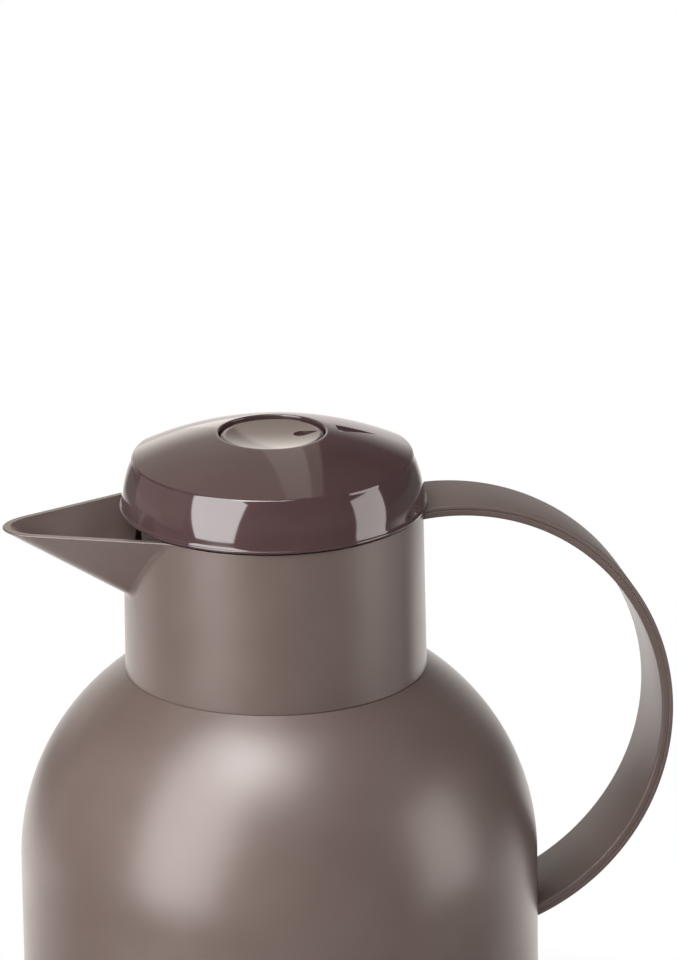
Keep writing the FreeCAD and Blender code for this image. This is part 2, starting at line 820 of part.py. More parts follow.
def make_gasket():
    """Silicone cap ring between the glass lip and the collar."""
    return turned("mouth_gasket", [
        ("web_radius", "mouth_top"),
        ("neck_radius + gasket_fit", "mouth_top"),
        ("neck_radius + gasket_fit", "mouth_top - gasket_skirt"),
        ("gasket_radius", "mouth_top - gasket_skirt"),
        ("gasket_radius", "basin_lip"),
        ("web_radius", "basin_lip"),
    ])


def make_base():
    """Base plate with a groove for the foot, a cup for the cushion and bayonet lugs."""
    groove_in = "foot_bore_radius - foot_fit"
    groove_out = "foot_radius + foot_fit"
    cup = "cushion_radius + cushion_fit"
    body = turned("base_plate", [
        ("0", "plate_bottom"),
        (groove_in, "plate_bottom"),
        (groove_in, "foot_height"),
        (groove_out, "foot_height"),
        (groove_out, "plate_bottom"),
        ("plate_radius", "plate_bottom"),
        ("plate_radius", "lug_top"),
        ("plate_radius - plate_rim", "lug_top"),
        ("plate_radius - plate_rim", "plate_top"),
        (f"{cup} + cup_wall", "plate_top"),
        (f"{cup} + cup_wall", "plate_top + cup_height"),
        (cup, "plate_top + cup_height"),
        (cup, "plate_top"),
        ("0", "plate_top"),
    ])
    return part_turn(body, "Revolution", "bayonet_lug", [
        ("plate_radius - plate_rim / 2", "lug_bottom"),
        ("lug_radius", "lug_bottom"),
        ("lug_radius", "lug_top"),
        ("plate_radius - plate_rim / 2", "lug_top"),
    ], "lug_angle")


def ring(label, bore, radius, bottom, top):
    """A plain ring of rectangular section."""
    return turned(label, [(bore, bottom), (radius, bottom), (radius, top), (bore, top)])


def make_cover():
    """Glossy cover with a bellied skirt, a crowned top, the guide of the button and a pointer."""
    inside = "crown_bore"

    def on_crown(radius, shell):
        return f"crown_centre + sqrt({shell}^2 - ({radius})^2)"

    body = turned("cover_moulding", [
        ("flange_radius - hook_depth", "lid_base"),
        ("lid_radius", "lid_base"),
        ("lid_radius", "lid_base + lid_lip_height"),
        ("skirt_radius", "lid_base + lid_lip_height + lid_lip", "skirt_round", "left"),
        ("crease_radius", on_crown("crease_radius", "crown_radius"), "crown_radius", "left"),
        ("button_hole", "hole_edge"),
        ("button_hole", "hole_edge - guide_depth"),
        ("guide_radius", "hole_edge - guide_depth"),
        ("guide_radius", on_crown("guide_radius", inside), inside, "right"),
        ("crease_radius - lid_wall", on_crown("crease_radius - lid_wall", inside)),
        ("flange_radius - shoulder_width", "flange_top + flange_fit"),
        ("flange_pocket", "flange_top + flange_fit"),
        ("flange_pocket", "flange_bottom - flange_fit"),
        ("flange_radius - hook_depth", "flange_bottom - flange_fit"),
    ])
    rounded(body, "crease_edge", "crease_round", [
        ("crease_radius", on_crown("crease_radius", "crown_radius")),
    ])
    rounded(body, "hole_rim", "hole_round", [("button_hole", "hole_edge")])
    pointer = doc.addObject("Part::Extrusion", "pointer_prism")
    pointer.Base = free_sketch("pointer_outline", [
        ("arrow_base", "-arrow_half_width"),
        ("arrow_tip", "0"),
        ("arrow_base", "arrow_half_width"),
    ], Rotation(), "hole_edge - guide_depth")
    pointer.Solid = True
    pointer.setExpression("LengthFwd", bound("2 * guide_depth"))
    under = placed(solid("Sphere", "pointer_floor", Radius="crown_radius - arrow_depth"), up="crown_centre")
    return cut("lid_cover", body, cut("pointer_recess", pointer, under))


def make_button():
    """Dished button with a guide skirt, a boss for the stem and a recessed drop on its top."""
    body = turned("button_moulding", [
        ("0", "button_rim - button_dish", "dish_radius", "left"),
        ("dish_reach", "button_rim", "button_round", "right"),
        ("button_radius", "button_rim - button_round"),
        ("button_radius", "button_rim - button_skirt"),
        ("button_radius - button_wall", "button_rim - button_skirt"),
        ("button_radius - button_wall", "button_ceiling"),
        ("button_boss", "button_ceiling"),
        ("button_boss", "button_ceiling - button_boss_depth"),
        ("stem_radius + stem_fit", "button_ceiling - button_boss_depth"),
        ("stem_radius + stem_fit", "stem_top"),
        ("0", "stem_top"),
    ])
    drop = doc.addObject("Part::Extrusion", "drop_prism")
    tangent = "drop_radius^2 / drop_length"
    side = f"drop_radius * sqrt(1 - (drop_radius / drop_length)^2)"
    drop.Base = free_sketch("drop_outline", [
        (f"drop_offset + {tangent}", side, "drop_radius", "left"),
        ("drop_offset - drop_radius", "0", "drop_radius", "left"),
        (f"drop_offset + {tangent}", f"-{side}"),
        ("drop_offset + drop_length", "0"),
    ], Rotation(), "button_rim - button_dish - drop_depth")
    drop.Solid = True
    drop.setExpression("LengthFwd", bound("button_top"))
    return cut("push_button", body, drop)


def make_stopper():
    """Screw stopper: cup with thread ribs, floor with the stem's boss, and the windowed plug."""
    body = turned("stopper_moulding", [
        ("flange_radius", "flange_bottom"),
        ("flange_radius", "flange_top"),
        ("cup_radius - cup_side", "flange_top"),
        ("cup_radius - cup_side", "floor_top"),
        ("boss_radius", "floor_top"),
        ("boss_radius", "boss_top"),
        ("ring_pocket", "boss_top"),
        ("ring_pocket", "ring_floor"),
        ("stem_bore", "ring_floor"),
        ("stem_bore", "floor_bottom"),
        ("plug_bore", "floor_bottom"),
        ("plug_bore", "plug_bottom"),
        ("plug_radius", "plug_bottom"),
        ("plug_radius", "seal_bottom - seal_play"),
        ("groove_radius", "seal_bottom - seal_play"),
        ("groove_radius", "seal_top + seal_play"),
        ("plug_radius", "seal_top + seal_play"),
        ("plug_radius", "floor_bottom"),
        ("cup_radius", "floor_bottom"),
        ("cup_radius", "flange_bottom"),
    ])
    ribs = thread_ribs(
        "stopper_thread", "cup_radius - thread_bury", "cup_radius + thread_depth", "male_level", "male_angle",
    )
    low = "basin_lip + web_thickness"
    high = "floor_bottom - window_land"
    along = block("window_along", "-2 * plug_radius", "2 * plug_radius", "window_width", low, high)
    across = block("window_across", "-window_width / 2", "window_width / 2", "4 * plug_radius", low, high)
    return cut("stopper_body", fuse("stopper_whole", body, *ribs), along, across)


def make_stem_seal():
    """Small ring that wipes the stem."""
    item = solid("Torus", "stem_seal", Radius1="stem_bore + ring_radius", Radius2="ring_radius")
    item.Label = "stem_seal"
    return placed(item, up="ring_floor + ring_radius + ring_fit")


def arc_from(start, heading, end):
    """The arc that leaves start along heading and reaches end."""
    middle = (start + end) / 2
    chord = end - start
    turn = heading.getAngle(chord)
    apex = start + heading * (chord.Length / 2 / math.cos(turn))
    return Part.Arc(start, middle + (apex - middle) * (math.tan(turn / 2) / math.tan(turn)), end).toShape()


def make_spring():
    """Coil spring between the stopper's floor and the button, on two arcs for each quarter turn."""
    radius, wire = number("spring_radius"), number("spring_wire")
    bottom = number("floor_top") + wire / 2 + number("ring_fit")
    rise = number("button_ceiling") - wire / 2 - number("ring_fit") - bottom
    quarters = int(4 * number("spring_turns"))
    step = rise / quarters

    def on_coil(quarter):
        angle = math.radians(90 * quarter)
        return Vector(radius * math.cos(angle), radius * math.sin(angle), bottom + step * quarter)

    def heading(quarter):
        angle = math.radians(90 * quarter)
        slope = step / math.radians(90)
        return Vector(-radius * math.sin(angle), radius * math.cos(angle), slope).normalize()

    edges = []
    for quarter in range(quarters):
        start, end = on_coil(quarter), on_coil(quarter + 1)
        leave, arrive = heading(quarter), heading(quarter + 1)
        way = end - start
        bend = 2 * (1 - leave.dot(arrive))
        run = way.dot(leave + arrive)
        reach = (math.sqrt(run**2 + bend * way.dot(way)) - run) / bend
        joint = (start + leave * reach + end - arrive * reach) / 2
        edges.append(arc_from(start, leave, joint))
        edges.append(arc_from(joint, (end - arrive * reach - joint).normalize(), end))
    path = Part.Wire(edges)
    section = Part.Wire([Part.makeCircle(wire / 2, on_coil(0), heading(0))])
    item = doc.addObject("Part::Feature", "return_spring")
    item.Label = "return_spring"
    item.Shape = path.makePipeShell([section], True, False)
    points = path.discretize(16 * quarters)
    turn = 16 * 4
    least = min(
        (points[index] - other).Length
        for index in range(len(points))
        for other in points[index + turn // 2:]
    ) - wire
    print(f"return_spring: least gap to itself {least:.2f} mm")
    return item


def make_stem():
    """Rod that carries the button's press down to the valve plate."""
    item = solid("Cylinder", "valve_stem", Radius="stem_radius", Height="stem_top - (stem_bottom)")
    item.Label = "valve_stem"
    return placed(item, up="stem_bottom")


def make_valve_plate():
    """Disc that closes the plug from below, with a hub for its seal and a socket for the stem."""
    return turned("valve_plate", [
        ("0", "valve_bottom"),
        ("valve_radius", "valve_bottom"),
        ("valve_radius", "valve_face"),
        ("valve_hub", "valve_face"),
        ("valve_hub", "valve_face + valve_hub_height"),
        ("stem_radius + stem_fit", "valve_face + valve_hub_height"),
        ("stem_radius + stem_fit", "stem_bottom"),
        ("0", "stem_bottom"),
    ])


PIECES = [
    make_jacket(),
    make_collar(),
    make_handle_outer(),
    make_handle_inner(),
    make_outer_flask(),
    make_inner_flask(),
    make_spacers(),
    make_gasket(),
    make_base(),
    ring("base_cushion", "cushion_bore", "cushion_radius", "plate_top", "flask_bottom"),
    ring("foot_ring", "foot_bore_radius", "foot_radius", "0", "foot_height"),
    make_cover(),
    make_button(),
    make_stopper(),
    ring("stopper_seal", "groove_radius + seal_play", "mouth_radius - seal_gap", "seal_bottom", "seal_top"),
    make_stem_seal(),
    make_spring(),
    make_stem(),
    make_valve_plate(),
    ring("valve_seal", "valve_hub + valve_seal_fit", "valve_radius", "valve_face", "valve_seal_top"),
]

doc.recompute()
for item in doc.Objects:
    if "Invalid" in item.State or "Error" in item.State:
        raise RuntimeError(f"{item.Name} failed: {item.State}")
for piece in PIECES:
    if piece.Shape.isNull() or not piece.Shape.isValid() or not piece.Shape.Solids:
        raise RuntimeError(f"{piece.Label} has no valid solid")

os.makedirs("parts", exist_ok=True)
for piece in PIECES:
    piece.Shape.exportStep(f"parts/{piece.Label}.step")
    print(f"{piece.Label}: {len(piece.Shape.Solids)} solid, {piece.Shape.Volume / 1000:.2f} cm3")
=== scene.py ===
import math

import bmesh
import bpy
from mathutils import Matrix, Vector


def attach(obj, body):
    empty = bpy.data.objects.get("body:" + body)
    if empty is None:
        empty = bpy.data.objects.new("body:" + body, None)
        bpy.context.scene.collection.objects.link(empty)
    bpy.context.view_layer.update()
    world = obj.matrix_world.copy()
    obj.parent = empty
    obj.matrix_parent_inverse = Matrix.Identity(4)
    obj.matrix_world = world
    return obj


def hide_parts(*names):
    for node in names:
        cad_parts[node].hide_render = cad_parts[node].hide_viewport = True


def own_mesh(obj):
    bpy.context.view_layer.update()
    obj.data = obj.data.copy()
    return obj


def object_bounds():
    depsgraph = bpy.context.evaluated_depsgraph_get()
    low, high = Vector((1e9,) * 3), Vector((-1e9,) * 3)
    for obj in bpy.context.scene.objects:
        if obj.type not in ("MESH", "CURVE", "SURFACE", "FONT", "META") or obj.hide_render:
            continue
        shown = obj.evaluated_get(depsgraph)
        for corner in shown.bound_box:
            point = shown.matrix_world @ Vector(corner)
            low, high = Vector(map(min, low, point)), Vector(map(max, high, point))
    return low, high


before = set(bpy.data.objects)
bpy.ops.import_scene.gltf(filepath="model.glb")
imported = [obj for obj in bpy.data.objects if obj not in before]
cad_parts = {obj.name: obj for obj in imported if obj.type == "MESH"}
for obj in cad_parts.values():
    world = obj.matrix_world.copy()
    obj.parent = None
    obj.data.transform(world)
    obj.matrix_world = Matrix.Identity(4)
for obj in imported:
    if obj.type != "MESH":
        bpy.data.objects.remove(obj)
cad_low, cad_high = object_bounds()

# Jacket: a blow-moulded plastic shell, a cylinder that closes over in a dome to the seat of the neck.
# Its skin is satin, with the fine even grain of an etched mould, and it is coloured right through.

MM = 0.001
JACKET_RADIUS, JACKET_WALL, JACKET_LIFT = 65.97, 2.2, 2.0
BASE_CORNER = 3.5
LEDGE_BORE, LEDGE_HEIGHT = 60.2, 9.4
DOME_START, DOME_RADIUS, DOME_CENTRE = 110.0, 60.57, 5.4
NECK_FOOT, SEAT_RADIUS = 38.26, 38.6
SEAT_HEIGHT, SEAT_UNDERSIDE = 160.70, 158.05
SPIGOT_RADIUS, SPIGOT_BORE, SPIGOT_TOP, SPIGOT_EASE = 35.5, 33.3, 172.2, 0.4
TAUPE = (0.105, 0.074, 0.065)
TAUPE_PALE = (0.116, 0.083, 0.073)


def arc(centre, radius, start, end, steps):
    """Points along an arc in an outline, with its angles in degrees."""
    angles = [math.radians(start + (end - start) * i / steps) for i in range(steps + 1)]
    return [(centre[0] + radius * math.cos(a), centre[1] + radius * math.sin(a)) for a in angles]


def eased(corners, steps=5):
    """An outline whose corners (across, up, ease) are rounded off over the given length."""
    points = []
    for index, corner in enumerate(corners):
        if len(corner) == 2:
            points.append(corner)
            continue
        here = Vector(corner[:2])
        before = (Vector(corners[index - 1][:2]) - here).normalized() * corner[2]
        after = (Vector(corners[(index + 1) % len(corners)][:2]) - here).normalized() * corner[2]
        for step in range(steps + 1):
            t = step / steps
            points.append(tuple(here + before * (1 - t) ** 2 + after * t**2))
    return points


def finished(name, mesh, body, stands_for, material):
    """A new piece: smooth faces, its finish, the body that it rides on and the nodes that it stands for."""
    mesh.shade_smooth()
    mesh.set_sharp_from_angle(angle=math.radians(38))
    piece = bpy.data.objects.new(name, mesh)
    bpy.context.scene.collection.objects.link(piece)
    piece.data.materials.append(material)
    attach(piece, body)
    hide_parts(*stands_for)
    return piece


def turned(name, outline, steps=288):
    """The mesh of a round piece, from a closed outline of (radius, height) points in millimetres."""
    count = len(outline)
    spots = []
    for step in range(steps):
        angle = 2 * math.pi * step / steps
        spots += [(r * math.cos(angle) * MM, r * math.sin(angle) * MM, z * MM) for r, z in outline]
    faces = []
    for step in range(steps):
        here, there = step * count, (step + 1) % steps * count
        for k in range(count):
            after = (k + 1) % count
            faces.append((here + k, there + k, there + after, here + after))
    mesh = bpy.data.meshes.new(name)
    mesh.from_pydata(spots, [], faces)
    shape = bmesh.new()
    shape.from_mesh(mesh)
    bmesh.ops.remove_doubles(shape, verts=shape.verts, dist=1e-7)
    bmesh.ops.dissolve_degenerate(shape, edges=shape.edges, dist=1e-8)
    shape.to_mesh(mesh)
    shape.free()
    return mesh


def added(tree, kind, **values):
    """A shader node with its sockets set."""
    node = tree.nodes.new(kind)
    for name, value in values.items():
        node.inputs[name.replace("_", " ")].default_value = value
    return node


def moulded(name, colours, roughness, grain, bump, **looks):
    """A moulded or drawn surface: two close tones, a roughness that drifts and a fine skin grain."""
    material = bpy.data.materials.new(name)
    material.use_nodes = True
    tree = material.node_tree
    shader = tree.nodes["Principled BSDF"]
    for socket, value in {"IOR": 1.5, **looks}.items():
        shader.inputs[socket.replace("_", " ")].default_value = value
    place = added(tree, "ShaderNodeTexCoord")
    drift = added(tree, "ShaderNodeTexNoise", Scale=38.0, Detail=4.0, Roughness=0.55)
    skin = added(tree, "ShaderNodeTexNoise", Scale=grain, Detail=3.0, Roughness=0.6)
    for texture in (drift, skin):
        tree.links.new(place.outputs["Object"], texture.inputs["Vector"])
    tones = added(tree, "ShaderNodeValToRGB")
    for stop, colour, where in zip(tones.color_ramp.elements, colours, (0.36, 0.64)):
        stop.color = (*colour, 1)
        stop.position = where
    tree.links.new(drift.outputs["Fac"], tones.inputs["Fac"])
    tree.links.new(tones.outputs["Color"], shader.inputs["Base Color"])
    smooth, rough = roughness
    sheen = added(tree, "ShaderNodeMapRange", From_Min=0.3, From_Max=0.7, To_Min=smooth, To_Max=rough)
    tree.links.new(drift.outputs["Fac"], sheen.inputs["Value"])
    tree.links.new(sheen.outputs["Result"], shader.inputs["Roughness"])
    relief = added(tree, "ShaderNodeBump", Strength=bump, Distance=0.00004)
    tree.links.new(skin.outputs["Fac"], relief.inputs["Height"])
    tree.links.new(relief.outputs["Normal"], shader.inputs["Normal"])
    return material


satin_taupe = moulded("satin_taupe_plastic", (TAUPE, TAUPE_PALE), (0.31, 0.36), 2600, 0.2)

seat_angle = math.degrees(math.acos((NECK_FOOT - DOME_CENTRE) / DOME_RADIUS))
inner_dome = DOME_RADIUS - JACKET_WALL
under_angle = math.degrees(math.acos((SEAT_RADIUS - DOME_CENTRE) / inner_dome))
wall_start = JACKET_LIFT + BASE_CORNER
jacket_outline = (
    arc((JACKET_RADIUS - BASE_CORNER, wall_start), BASE_CORNER, -90, 0, 10)
    + [(JACKET_RADIUS, wall_start + (DOME_START - wall_start) * i / 6) for i in range(1, 6)]
    + arc((DOME_CENTRE, DOME_START), DOME_RADIUS, 0, seat_angle, 72)
    + [(NECK_FOOT - 0.02, SEAT_HEIGHT)]
    + eased([
        (SPIGOT_RADIUS, SEAT_HEIGHT),
        (SPIGOT_RADIUS, SPIGOT_TOP, SPIGOT_EASE),
        (SPIGOT_BORE, SPIGOT_TOP, SPIGOT_EASE),
        (SPIGOT_BORE, SEAT_UNDERSIDE),
    ])
    + arc((DOME_CENTRE, DOME_START), inner_dome, under_angle, 0, 30)
    + [(JACKET_RADIUS - JACKET_WALL, LEDGE_HEIGHT), (LEDGE_BORE, LEDGE_HEIGHT), (LEDGE_BORE, JACKET_LIFT)]
)
finished("jacket", turned("jacket", jacket_outline), "jug", ["body_jacket"], satin_taupe)

# Neck collar: the straight neck with the open beak, injection-moulded in one and snapped on to the jacket.
# It has the same satin plastic as the jacket.

def dressed(node, material):
    """A piece carried over as it was built, with its finish."""
    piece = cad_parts[node]
    piece.data.materials.clear()
    piece.data.materials.append(material)


dressed("neck_collar", satin_taupe)

# Handle: two moulded strips bent to one ring, the outer one snapped over the inner one.
# They are narrower at the neck, and a fine groove runs along the seam between them. Both are duller than
# the jacket, the outer one most.

satin_strip = moulded(
    "satin_strip_plastic", (TAUPE, TAUPE_PALE), (0.48, 0.56), 2600, 0.03, Specular_IOR_Level=0.3,
)
satin_inner = moulded(
    "satin_inner_plastic", (TAUPE, TAUPE_PALE), (0.36, 0.42), 2600, 0.1, Specular_IOR_Level=0.35,
)

RING_CENTRE = (42.7, 144.796)
RING_RADIUS = 58.3
OUTER_STRIP, SEAM, INNER_STRIP = 1.2, 0.004, 1.796
OUTER_EDGE, GROOVE_EDGE, INNER_EDGE = 0.62, 0.3, 0.7
NECK_END, BODY_END = 96.6, -67.6
NECK_HALF_WIDTH, SWELL = 10.3, 2.8
SWELL_START, SWELL_REACH = 64, 124
STRIP_STEPS = 150


def strip_half_width(angle):
    """Half the width of the handle, which swells from the neck to the jacket."""
    share = min(max((SWELL_START - angle) / SWELL_REACH, 0), 1)
    return NECK_HALF_WIDTH + SWELL * share**2 * (3 - 2 * share)


def strip(name, section):
    """The mesh of a strip along the ring. A section point is (radius, side, inset from that side)."""
    spots, faces = [], []
    count = len(section)
    for step in range(STRIP_STEPS + 1):
        angle = NECK_END + (BODY_END - NECK_END) * step / STRIP_STEPS
        half = strip_half_width(angle)
        turn = math.radians(angle)
        for radius, side, inset in section:
            across = side * (half - inset)
            x = RING_CENTRE[0] + radius * math.cos(turn)
            z = RING_CENTRE[1] + radius * math.sin(turn)
            spots.append((x * MM, across * MM, z * MM))
    for step in range(STRIP_STEPS):
        for k in range(count):
            after = (k + 1) % count
            here, there = step * count, (step + 1) * count
            faces.append((here + k, here + after, there + after, there + k))
    faces.append(tuple(range(count - 1, -1, -1)))
    faces.append(tuple(STRIP_STEPS * count + k for k in range(count)))
    mesh = bpy.data.meshes.new(name)
    mesh.from_pydata(spots, [], faces)
    shape = bmesh.new()
    shape.from_mesh(mesh)
    bmesh.ops.recalc_face_normals(shape, faces=shape.faces)
    shape.to_mesh(mesh)
    shape.free()
    return mesh


def strip_section(low, high, low_ease, high_ease):
    """The section of a strip between two radii, with its four edges eased."""
    quarter = [math.radians(22.5 * step) for step in range(5)]
    side = [(low + low_ease * (1 - math.cos(a)), low_ease * (1 - math.sin(a))) for a in quarter]
    side += [(high - high_ease * (1 - math.sin(a)), high_ease * (1 - math.cos(a))) for a in quarter]
    return [(r, 1, inset) for r, inset in side] + [(r, -1, inset) for r, inset in reversed(side)]


inner_face = RING_RADIUS - OUTER_STRIP - SEAM
outer_section = strip_section(RING_RADIUS - OUTER_STRIP, RING_RADIUS, GROOVE_EDGE, OUTER_EDGE)
inner_section = strip_section(inner_face - INNER_STRIP, inner_face, INNER_EDGE, GROOVE_EDGE)
finished(
    "handle_outer", strip("handle_outer", outer_section), "jug",
    ["handle_outer_strip"], satin_strip,
)
finished(
    "handle_inner", strip("handle_inner", inner_section), "jug",
    ["handle_inner_strip"], satin_inner,
)

# Glass flask: two blown glasses silvered on the inside of the vacuum, kept apart by three fibre pads,
# with a silicone cap on the fused lip.

SILVERS = (0.72, 0.73, 0.74), (0.8, 0.8, 0.8)
silvered = moulded("silvered_glass", SILVERS, (0.04, 0.09), 300, 0.05, Metallic=1.0)
fibre = moulded("pad_fibre", ((0.4, 0.32, 0.2), (0.5, 0.42, 0.3)), (0.8, 0.95), 1800, 0.9)
silicone = moulded("milky_silicone", ((0.48, 0.46, 0.43), (0.56, 0.54, 0.51)), (0.42, 0.55), 1500, 0.3)
dressed("outer_flask", silvered)
dressed("inner_flask", silvered)
dressed("flask_spacers", fibre)
dressed("mouth_gasket", silicone)

# Base: a plastic plate turned in with a bayonet, the rubber cushion that carries the glass,
# and the rubber ring that the jug stands on, pressed into a groove.

black_rubber = moulded("foot_rubber", ((0.03, 0.029, 0.028), (0.045, 0.042, 0.04)), (0.6, 0.75), 1200, 0.5)
dressed("base_plate", satin_taupe)
dressed("base_cushion", black_rubber)
dressed("foot_ring", black_rubber)

# Stopper: the screw-in cup and windowed plug, in the plain inside finish of the moulding,
# with soft rings round the plug and the stem.

STOPPER_GREYS = (0.1, 0.083, 0.078), (0.125, 0.105, 0.1)
stopper_grey = moulded("stopper_plastic", STOPPER_GREYS, (0.38, 0.48), 2200, 0.25)
dressed("stopper_body", stopper_grey)
dressed("stopper_seal", silicone)
dressed("stem_seal", silicone)

# Lid cover: a glossy moulding clipped over the stopper, with a thin lip, a bellied skirt, a crisp crease
# and a crowned top. A pointer toward the handle is sunk into the crown.

LID_BASE = 203.796
LID_RADIUS, LID_BORE, LIP_HEIGHT = 38.8, 35.8, 0.75
SKIRT_RADIUS, SKIRT_ROUND, SKIRT_RISE = 38.3, 26.0, 1.2
CREASE_RADIUS, CREASE_EASE = 35.6, 0.42
CROWN_RADIUS, CROWN_CENTRE, CROWN_WALL = 89.0, 135.196, 1.9
BUTTON_HOLE, HOLE_EASE, GUIDE_RADIUS, GUIDE_DEPTH = 13.5, 0.55, 15.1, 12
RECESS_RADIUS, RECESS_FOOT, RECESS_TOP = 36.4, 0.5, 2.3
POINTER_BACK, POINTER_TIP, POINTER_HALF, POINTER_DEPTH = 16.8, 26.8, 2.7, 0.5
INNER_CROWN_START, INNER_CROWN_REACH, INNER_SHOULDER = 79, 33.7, 35.5
CUTTER_TOP = 230
DARK_TAUPE = (0.057, 0.032, 0.033)
DARK_TAUPE_PALE = (0.064, 0.036, 0.037)


def on_crown(radius, drop=0.0):
    """Height of the crown, or of a shell under it, at one radius."""
    return CROWN_CENTRE + math.sqrt((CROWN_RADIUS - drop) ** 2 - radius**2)


def carved(mesh, cutter_mesh):
    """A mesh less the sunk form that the cutter fills."""
    base = bpy.data.objects.new("uncut", mesh)
    cutter = bpy.data.objects.new("cutter", cutter_mesh)
    for item in (base, cutter):
        bpy.context.scene.collection.objects.link(item)
    sunk = base.modifiers.new("sunk", "BOOLEAN")
    sunk.object = cutter
    sunk.solver = "EXACT"
    result = bpy.data.meshes.new_from_object(base.evaluated_get(bpy.context.evaluated_depsgraph_get()))
    for item in (base, cutter):
        bpy.data.objects.remove(item)
    return result


def prism(name, outline, floor, top):
    """The mesh of a cutter with an outline of (x, y) points, a floor height for each point and a flat top."""
    count = len(outline)
    spots = [(x * MM, y * MM, floor(x, y) * MM) for x, y in outline]
    spots += [(x * MM, y * MM, top * MM) for x, y in outline]
    faces = [(k, (k + 1) % count, count + (k + 1) % count, count + k) for k in range(count)]
    faces += [tuple(range(count - 1, -1, -1)), tuple(range(count, 2 * count))]
    mesh = bpy.data.meshes.new(name)
    mesh.from_pydata(spots, [], faces)
    return mesh


glossy_lid = moulded("glossy_lid_plastic", (DARK_TAUPE, DARK_TAUPE_PALE), (0.05, 0.085), 900, 0.02, IOR=1.55)

skirt_foot = LID_BASE + SKIRT_RISE
skirt_centre = (SKIRT_RADIUS - SKIRT_ROUND, skirt_foot)
crease_height = on_crown(CREASE_RADIUS)
skirt_end = math.degrees(math.asin((crease_height - skirt_foot) / SKIRT_ROUND)) - 1.2
crown_middle = (0, CROWN_CENTRE)
crown_start = math.degrees(math.acos(CREASE_RADIUS / CROWN_RADIUS)) + 0.4
crown_end = math.degrees(math.acos(BUTTON_HOLE / CROWN_RADIUS)) - 0.5
hole_edge = on_crown(BUTTON_HOLE)
inner_crown = CROWN_RADIUS - CROWN_WALL
inner_crown_end = math.degrees(math.acos(INNER_CROWN_REACH / inner_crown))
lid_outline = (
    eased([
        (LID_BORE, LID_BASE + RECESS_FOOT),
        (LID_BORE, LID_BASE),
        (LID_RADIUS, LID_BASE, 0.25),
        (LID_RADIUS, LID_BASE + LIP_HEIGHT, 0.3),
    ])[1:]
    + eased([
        (LID_RADIUS, LID_BASE),
        (SKIRT_RADIUS + 0.02, skirt_foot - 0.1, 0.25),
        (SKIRT_RADIUS, skirt_foot + 1),
    ])[1:-1]
    + arc(skirt_centre, SKIRT_ROUND, 2.2, skirt_end, 22)
    + eased([
        arc(skirt_centre, SKIRT_ROUND, skirt_end, skirt_end, 1)[0],
        (CREASE_RADIUS, crease_height, CREASE_EASE),
        arc(crown_middle, CROWN_RADIUS, crown_start, crown_start, 1)[0],
    ], 6)[1:-1]
    + arc(crown_middle, CROWN_RADIUS, crown_start, crown_end, 34)
    + eased([
        (20, on_crown(20)),
        (BUTTON_HOLE, hole_edge, HOLE_EASE),
        (BUTTON_HOLE, hole_edge - GUIDE_DEPTH),
    ])[1:]
    + [(GUIDE_RADIUS, hole_edge - GUIDE_DEPTH), (GUIDE_RADIUS, on_crown(GUIDE_RADIUS, CROWN_WALL))]
    + arc(crown_middle, inner_crown, INNER_CROWN_START, inner_crown_end, 12)
    + [(INNER_SHOULDER, LID_BASE + RECESS_TOP), (RECESS_RADIUS, LID_BASE + RECESS_TOP)]
    + [(RECESS_RADIUS, LID_BASE + RECESS_FOOT)]
)
pointer = [(POINTER_BACK, -POINTER_HALF), (POINTER_TIP, 0.0), (POINTER_BACK, POINTER_HALF)]
pointer_cutter = prism(
    "pointer", pointer, lambda x, y: on_crown(math.hypot(x, y), POINTER_DEPTH), CUTTER_TOP,
)
lid_mesh = carved(turned("lid", lid_outline, 320), pointer_cutter)
lid_mesh.materials.clear()
finished("lid", lid_mesh, "closure", ["lid_cover"], glossy_lid)

# Push button: a dished disc with a rounded rim, in the same glossy plastic, that slides in the cover.
# A plain drop is sunk into its top.

BUTTON_RADIUS, BUTTON_RIM, BUTTON_DISH = 13.15, 222.366, 0.7
BUTTON_WALL, BUTTON_TOP, BUTTON_SKIRT, RIM_EASE = 1.6, 2.6, 9, 0.6
DROP_CENTRE, DROP_RADIUS, DROP_TIP, DROP_DEPTH = 7.4, 1.9, 12.0, 0.4
button_bore = BUTTON_RADIUS - BUTTON_WALL
button_foot = BUTTON_RIM - BUTTON_SKIRT
dish_reach = BUTTON_RADIUS - 0.8
button_outline = (
    [(button_bore, button_foot), (BUTTON_RADIUS, button_foot)]
    + eased([
        (BUTTON_RADIUS, button_foot),
        (BUTTON_RADIUS, BUTTON_RIM - 0.05, RIM_EASE),
        (dish_reach - 1, BUTTON_RIM - 0.1),
    ])[1:-1]
    + [(dish_reach * i / 16, BUTTON_RIM - BUTTON_DISH * (1 - (i / 16) ** 2)) for i in range(16, -1, -1)]
    + [(0, BUTTON_RIM - BUTTON_TOP), (button_bore, BUTTON_RIM - BUTTON_TOP)]
)
drop = [(DROP_TIP, 0.0)] + arc((DROP_CENTRE, 0.0), DROP_RADIUS, 66, 294, 20)
drop_cutter = prism("drop", drop, lambda x, y: BUTTON_RIM - BUTTON_DISH - DROP_DEPTH, CUTTER_TOP)
button_mesh = carved(turned("button", button_outline, 192), drop_cutter)
button_mesh.materials.clear()
finished("button", button_mesh, "plunger", ["push_button"], glossy_lid)

# Valve: a moulded stem that carries the press down through the stopper, and the plate at its foot,
# which closes the plug from below. A silicone washer lies on the plate.

valve_white = moulded("valve_plastic", ((0.5, 0.485, 0.46), (0.58, 0.565, 0.54)), (0.35, 0.45), 2000, 0.2)
dressed("valve_stem", valve_white)
dressed("valve_plate", valve_white)
dressed("valve_seal", silicone)
